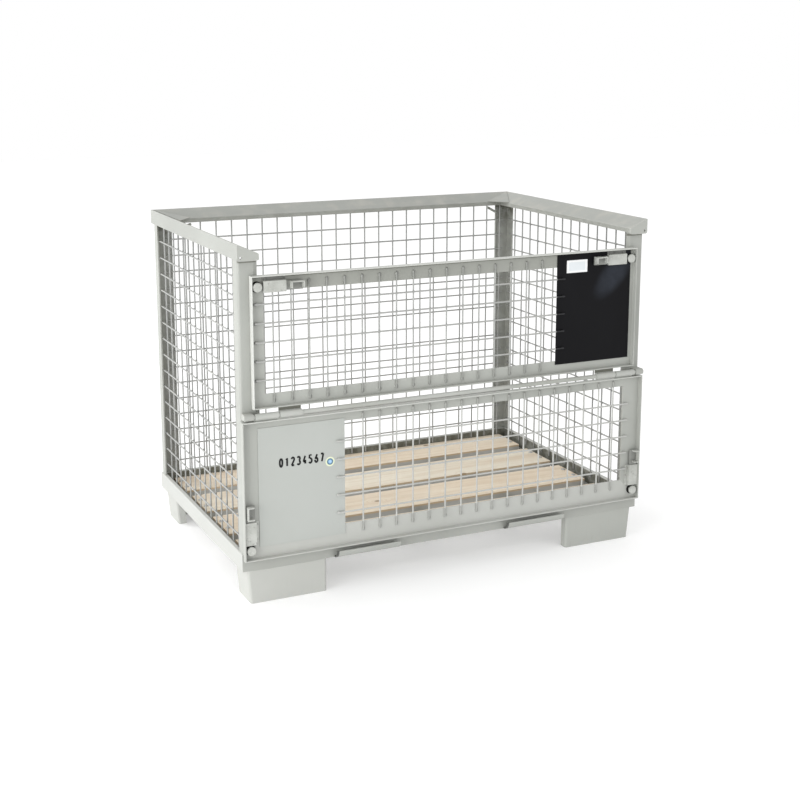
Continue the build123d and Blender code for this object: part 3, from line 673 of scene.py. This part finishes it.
def ribbon(work, points, width, thickness):
    """A flat strip along points in the XZ plane, proud of y = 0 towards -Y."""
    points = [Vector((x, 0.0, z)) for x, z in points]
    rails = []
    for index, point in enumerate(points):
        before = points[max(index - 1, 0)]
        after = points[min(index + 1, len(points) - 1)]
        along = (after - before).normalized()
        side = Vector((-along.z, 0.0, along.x)) * width / 2
        front = Vector((0.0, -thickness, 0.0))
        corners = (point + side, point - side, point - side + front, point + side + front)
        rails.append([work.verts.new(corner) for corner in corners])
    for first, second in zip(rails, rails[1:]):
        for corner in range(4):
            after = (corner + 1) % 4
            work.faces.new((first[corner], first[after], second[after], second[corner]))
    work.faces.new(rails[0])
    work.faces.new(rails[-1])


cell_width = DIGIT_WIDTH - STROKE
cell_half = (DIGIT_HEIGHT - STROKE) / 2
bottom = NUMBER_BOTTOM + STROKE / 2
ink = bmesh.new()
for index, digit in enumerate("01234567"):
    left = NUMBER_LEFT + DIGIT_PITCH * index + STROKE / 2
    for stroke in digit_strokes[digit]:
        points = [(left + x * cell_width, bottom + y * cell_half) for x, y in stroke]
        ribbon(ink, points, STROKE, INK_THICKNESS)
bmesh.ops.translate(ink, verts=ink.verts, vec=(0.0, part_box("number_plate")[0].y, 0.0))
stencil = mesh_object("stencilled_number", ink, smooth=False)
ink_finish = Finish("stencil_ink", Specular_IOR_Level=0.2)
thin = ink_finish.cloud(900.0, 2.0).between(0.45, 0.75)
ink_finish.surface(
    Base_Color=ink_finish.mix(thin * 0.12, (0.010, 0.010, 0.011), (0.16, 0.17, 0.155)),
    Roughness=0.55 + 0.2 * thin,
)
stencil.data.materials.append(ink_finish.material)
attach(stencil, "lower_flap")

sticker_low, sticker_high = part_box("round_sticker")
sticker_x = (sticker_low.x + sticker_high.x) / 2
sticker_z = (sticker_low.z + sticker_high.z) / 2
sticker_radius = (sticker_high.x - sticker_low.x) / 2
film = Finish("sticker_film", Coat_Weight=0.3)
squared = (film.axis("X") - sticker_x) ** 2.0 + (film.axis("Z") - sticker_z) ** 2.0
from_middle = squared ** 0.5 / sticker_radius
pale = film.mix(film.cloud(260.0, 2.0).between(0.3, 0.7), (0.24, 0.43, 0.66), (0.36, 0.56, 0.78))
printed = film.mix(from_middle.between(0.22, 0.58), pale, (0.045, 0.13, 0.22))
ringed = film.mix(from_middle.between(0.64, 0.74), printed, (0.66, 0.70, 0.50))
film.surface(Base_Color=ringed, Roughness=0.3 + 0.1 * film.cloud(150.0))
coat(film.material, "round_sticker")

# ---------------------------------------------------------------------------------------------
# Black board and paper label
# A sheet of steel painted chalkboard black on the upper flap, with a white paper label near its top
# edge. A soft slanted sheen near the board's upper right corner is a painted reflection.

SHEEN_FROM_LEFT = 0.190
SHEEN_FROM_TOP = 0.066
SLANT_COS = 0.73
SLANT_SIN = 0.68
board_low, board_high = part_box("black_board")
black = Finish("board_black", Specular_IOR_Level=0.09)
from_x = black.axis("X") - (board_low.x + SHEEN_FROM_LEFT)
from_z = black.axis("Z") - (board_high.z - SHEEN_FROM_TOP)
across = (from_x * SLANT_COS - from_z * SLANT_SIN) ** 2.0 * 900.0
along = (from_x * SLANT_SIN + from_z * SLANT_COS) ** 2.0 * 190.0
# Painted reflection: a soft slanted sheen near the upper right corner
sheen = (1 - (across + along).between(0.0, 1.9)) * (0.35 + 0.65 * black.cloud(38.0, 4.0))
wiped = black.cloud(9.0, 4.0, black.stretch((1.0, 1.0, 0.35))).between(0.45, 0.8)
soot = black.mix(wiped * 0.6, (0.0055, 0.0055, 0.0065), (0.0095, 0.0095, 0.011))
black.surface(
    Base_Color=black.mix(sheen * 0.34, soot, (0.085, 0.10, 0.13)),
    Roughness=0.42 + 0.2 * wiped,
    Normal=black.bump(black.cloud(300.0, 2.0), 0.08, 0.0004),
)
coat(black.material, "black_board")

paper = Finish("label_paper", Specular_IOR_Level=0.25)
fibres = paper.cloud(600.0, 3.0)
label_low, label_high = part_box("paper_label")
label_middle = (label_low + label_high) / 2
label_half = (label_high - label_low) / 2
from_x = ((paper.axis("X") - label_middle.x) / label_half.x) ** 2.0
from_z = ((paper.axis("Z") - label_middle.z) / label_half.z) ** 2.0
inner = (from_x < 0.62) * (from_z < 0.45)
paper_tone = paper.mix(fibres, (0.76, 0.77, 0.77), (0.84, 0.85, 0.85))
paper.surface(
    Base_Color=paper.mix(inner * 0.7, paper_tone, (0.62, 0.67, 0.70)),
    Roughness=0.6 + 0.1 * fibres,
    Normal=paper.bump(fibres, 0.1, 0.0002),
)
coat(paper.material, "paper_label")

# ---------------------------------------------------------------------------------------------
# Floor boards and their bolts
# Four sawn pine planks lie on the ledges of the rails. They are flat-sawn, with long grain, knots
# and darker sawn edges, and each is held by zinc-plated dome bolts.

BOARD_STEP = 0.206
first_low, first_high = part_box("floor_board_1")
pine = Finish("sawn_pine", Specular_IOR_Level=0.2)
planks_back = (pine.axis("Y") - first_low.y) / BOARD_STEP
plank = planks_back.sum("FLOOR", planks_back)
shifts = {0: plank * 3.7, 1: plank * 1.9, 2: plank * 5.3}
plank_shift = pine.node("ShaderNodeCombineXYZ", inputs=shifts)


def in_own_plank(factors):
    """The stretched point, moved so that each plank has its own grain."""
    inputs = {0: pine.stretch(factors), 1: plank_shift}
    return pine.node("ShaderNodeVectorMath", {"operation": "ADD"}, inputs)


grain_point = in_own_plank((0.55, 9.0, 9.0))
knot_point = in_own_plank((1.0, 1.35, 0.1))
knot_spot = pine.node(
    "ShaderNodeTexVoronoi",
    {"voronoi_dimensions": "2D"},
    {"Vector": knot_point, "Scale": 2.9, "Randomness": 1.0},
    "Distance",
)
knot_pull = 1 - knot_spot.between(0.0, 0.14)
waver = pine.cloud(1.4, 3.0, grain_point)
ring_turn = (pine.axis("Y", grain_point) + waver * 2.2 + knot_pull * 0.75) * 19.0
rings = ring_turn.sum("SINE", ring_turn)
late_wood = rings.between(0.15, 0.95)
fibre = pine.cloud(28.0, 4.0, pine.stretch((2.2, 34.0, 34.0)), 0.6)
board_tone = pine.cloud(2.2, 2.0, grain_point).between(0.35, 0.65)
timber = pine.mix(board_tone, (0.69, 0.60, 0.475), (0.76, 0.70, 0.585))
timber = pine.mix(plank.sum("MODULO", plank, 2.0) * 0.35, timber, (0.80, 0.655, 0.50))
timber = pine.mix(late_wood * 0.24, timber, (0.55, 0.42, 0.27))
timber = pine.mix(fibre.between(0.50, 0.78) * 0.22, timber, (0.50, 0.40, 0.28))
knot = 1 - knot_spot.between(0.016, 0.036)
timber = pine.mix(knot * 0.75, timber, (0.20, 0.12, 0.06))
edge = pine.axis("Z", pine.node("ShaderNodeNewGeometry", output="Normal")) < 0.5
below_top = first_high.z - pine.axis("Z")
timber = pine.mix(edge * 0.75, timber, (0.47, 0.335, 0.19))
# Below their top few millimetres the edges turn grey: painted shade in the gaps between the planks
timber = pine.mix(edge * below_top.between(0.004, 0.008), timber, (0.42, 0.412, 0.385))
pine.surface(
    Base_Color=timber,
    Roughness=0.62 + 0.15 * fibre,
    Normal=pine.bump(fibre + late_wood * 0.4, 0.35, 0.0008),
)
coat(pine.material, *[name for name in nodes if name.startswith("floor_board")])

zinc = Finish("zinc_plate", Metallic=0.85)
spangle = zinc.cloud(350.0, 3.0)
zinc.surface(
    Base_Color=zinc.mix(spangle, (0.34, 0.34, 0.33), (0.56, 0.56, 0.54)),
    Roughness=0.35 + 0.2 * spangle,
)
coat(zinc.material, "board_bolts")

# ---------------------------------------------------------------------------------------------
# Floor of the studio
# Matt, lit a little from within like a light table, so that the container stands on a white ground
# with a faint soft shadow.

ground = Finish("studio_ground", Specular_IOR_Level=0.1, Emission_Strength=1.0)
ground.surface(
    Base_Color=ground.mix(ground.cloud(1.2, 2.0), (0.70, 0.70, 0.70), (0.74, 0.74, 0.74)),
    Roughness=0.85 + 0.1 * ground.cloud(3.0),
    Emission_Color=ground.mix(ground.cloud(2.1, 2.0), (0.31, 0.31, 0.31), (0.34, 0.34, 0.34)),
)
floor.data.materials.append(ground.material)

bpy.context.view_layer.update()
